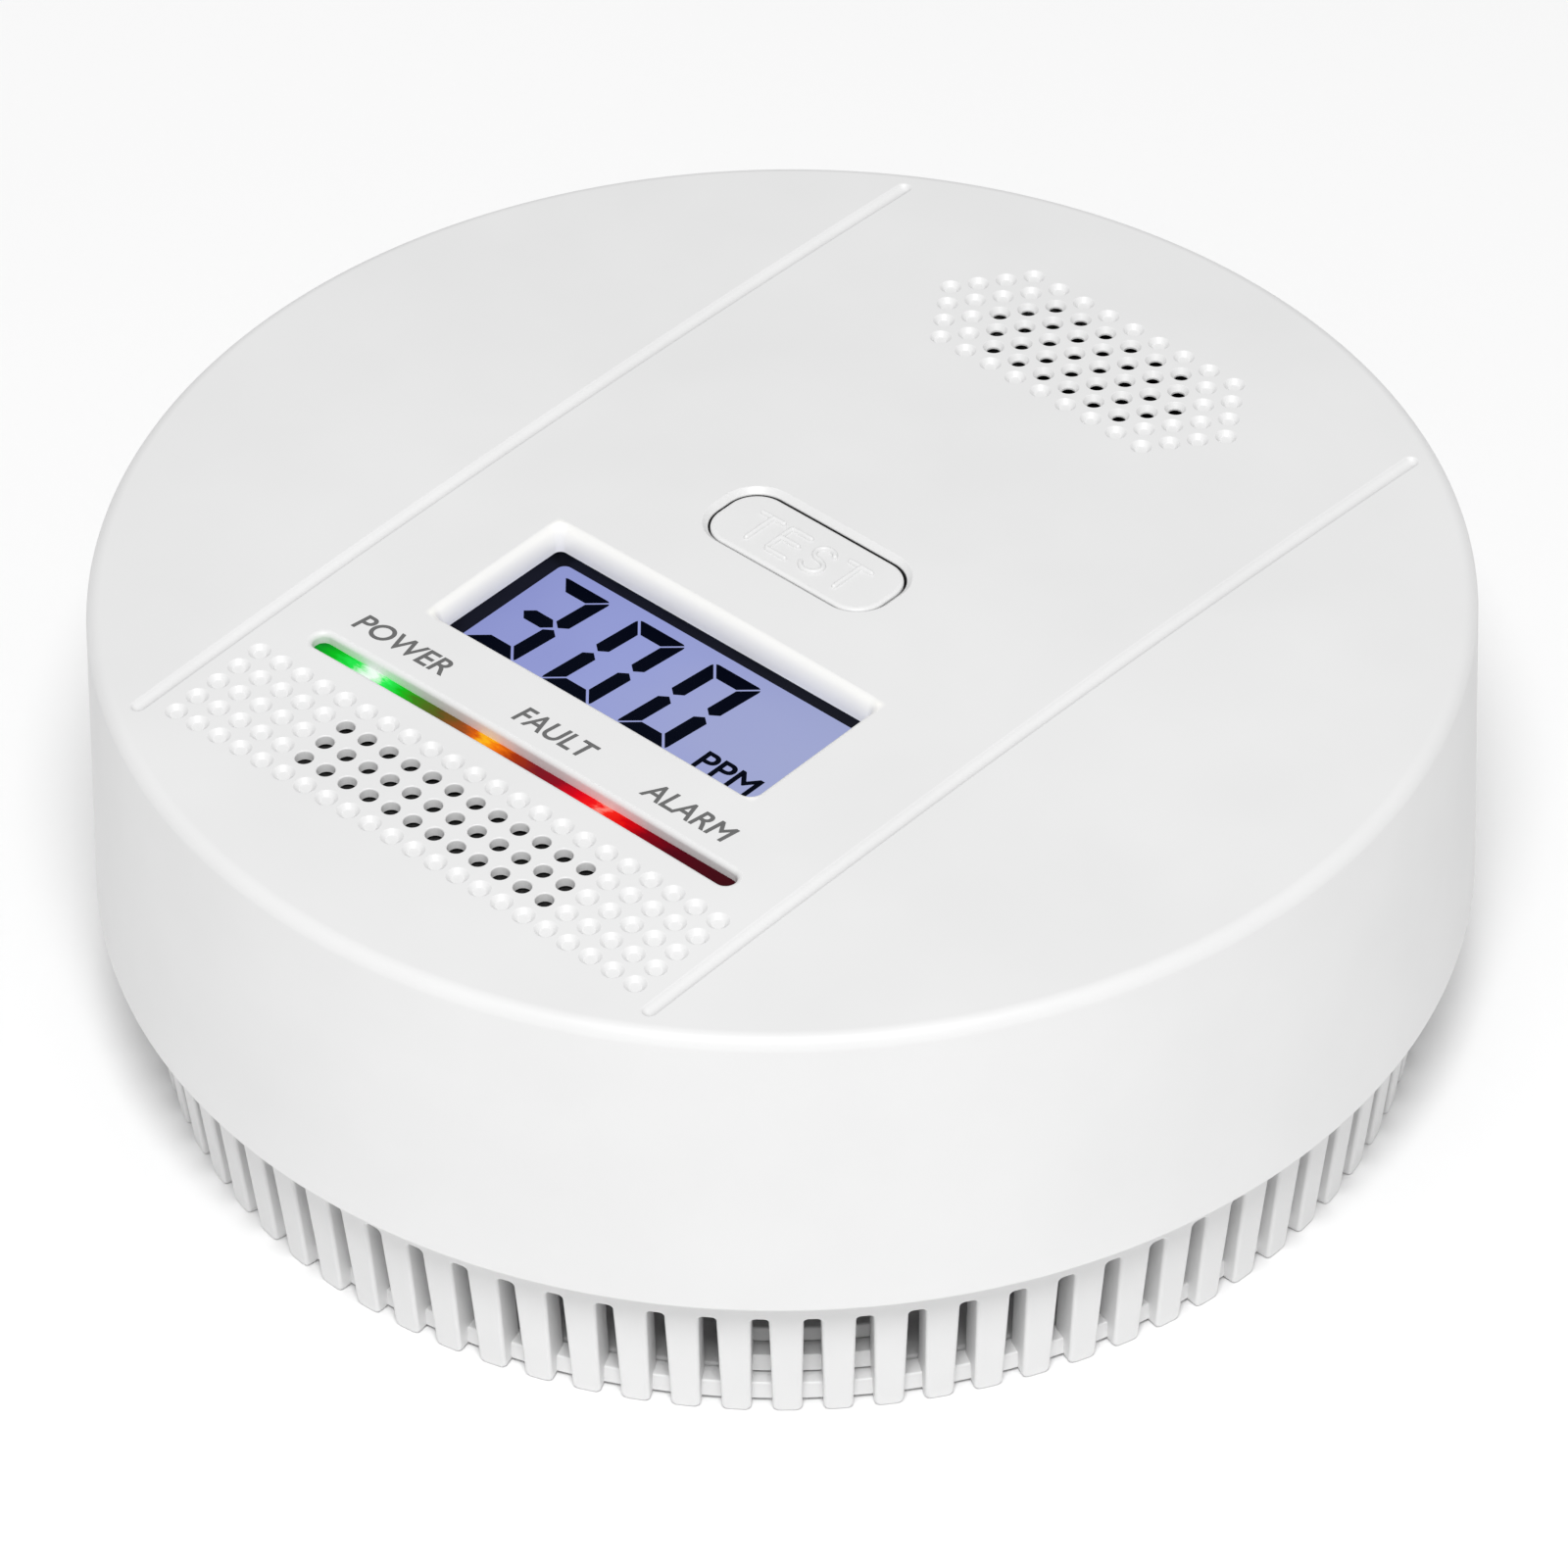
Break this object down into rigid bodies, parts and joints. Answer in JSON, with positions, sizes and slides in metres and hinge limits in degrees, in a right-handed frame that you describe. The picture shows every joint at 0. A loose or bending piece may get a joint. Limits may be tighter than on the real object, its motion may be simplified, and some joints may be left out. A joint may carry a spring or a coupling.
{
  "type": "carbon monoxide detector",
  "caption": "Round battery carbon monoxide alarm with display, indicator light bar, test button, side vents and a twist-off wall plate.",
  "frame": {"origin": "centre of the wall face, the flat back of the wall plate and the tips of the ribs", "axes": "+Z out of the front face, +X along the reading direction of the display, +Y up the display"},
  "size_m": [0.1048, 0.1048, 0.041],
  "materials": {
    "cover_white": "fine-grained moulded ABS, semi-matte",
    "housing_white": "moulded ABS, semi-matte",
    "plate_white": "moulded ABS, semi-matte",
    "button_white": "moulded ABS, semi-matte",
    "frame_black": "black moulded plastic",
    "display_panel": "backlit liquid crystal panel, lavender blue",
    "light_guide": "clear diffusing light guide",
    "light_bar": "tinted diffusing strip, lit green, amber and red",
    "rubber_grey": "soft grey elastomer",
    "led_green": "tinted epoxy",
    "led_amber": "tinted epoxy",
    "led_red": "tinted epoxy",
    "steel": "nickel-plated steel",
    "board_green": "solder mask over glass-fibre board",
    "chip_black": "moulded epoxy",
    "capacitor_sleeve": "shrink sleeve",
    "copper": "enamelled copper winding",
    "brass": "bright brass",
    "ceramic": "silvered piezo ceramic",
    "sensor_ivory": "moulded plastic",
    "gasket_black": "matte moulded rubber",
    "mesh_black": "fine woven dust mesh",
    "cell_jacket": "printed metallised jacket, plain bands"
  },
  "bodies": {
    "wall_plate": {"mounting_plate": "plate_white"},
    "alarm": {"rear_housing": "housing_white", "front_cover": "cover_white", "case_screws": "steel", "circuit_board": "board_green", "board_screws": "steel", "display_frame": "frame_black", "display_glass": "display_panel", "display_backlight": "light_guide", "display_connectors": "rubber_grey", "light_bar": "light_bar", "led_green": "led_green", "led_amber": "led_amber", "led_red": "led_red", "switch_body": "chip_black", "co_sensor_body": "sensor_ivory", "co_sensor_cap": "brass", "co_sensor_pins": "steel", "sensor_filter": "mesh_black", "sounder_case": "frame_black", "sounder_lid": "frame_black", "sounder_disc": "brass", "sounder_ceramic": "ceramic", "sounder_gasket": "gasket_black", "microcontroller": "chip_black", "driver_chip": "chip_black", "supply_capacitor": "capacitor_sleeve", "boost_coil": "copper", "timing_crystal": "steel", "chip_resistors": "chip_black", "battery_upper": "cell_jacket", "battery_middle": "cell_jacket", "battery_lower": "cell_jacket", "battery_contacts": "steel", "battery_springs": "steel"},
    "button": {"test_button": "button_white"},
    "stem": {"switch_stem": "sensor_ivory"}
  },
  "joints": [
    {"name": "plate_twist", "type": "hinge", "parent": "wall_plate", "child": "alarm", "pos_m": [0, 0, 0], "axis": [0, 0, 1], "range_deg": [0, 15]},
    {"name": "button_press", "type": "slide", "parent": "alarm", "child": "button", "axis": [0, 0, -1], "range_m": [0, 0.0005], "stiffness_N_per_m": 800, "springref_m": -0.0005},
    {"name": "stem_press", "type": "slide", "parent": "alarm", "child": "stem", "axis": [0, 0, -1], "range_m": [0, 0.0005]}
  ],
  "couplings": [
    {"joint": "stem_press", "follows": "button_press", "ratio": 1}
  ]
}
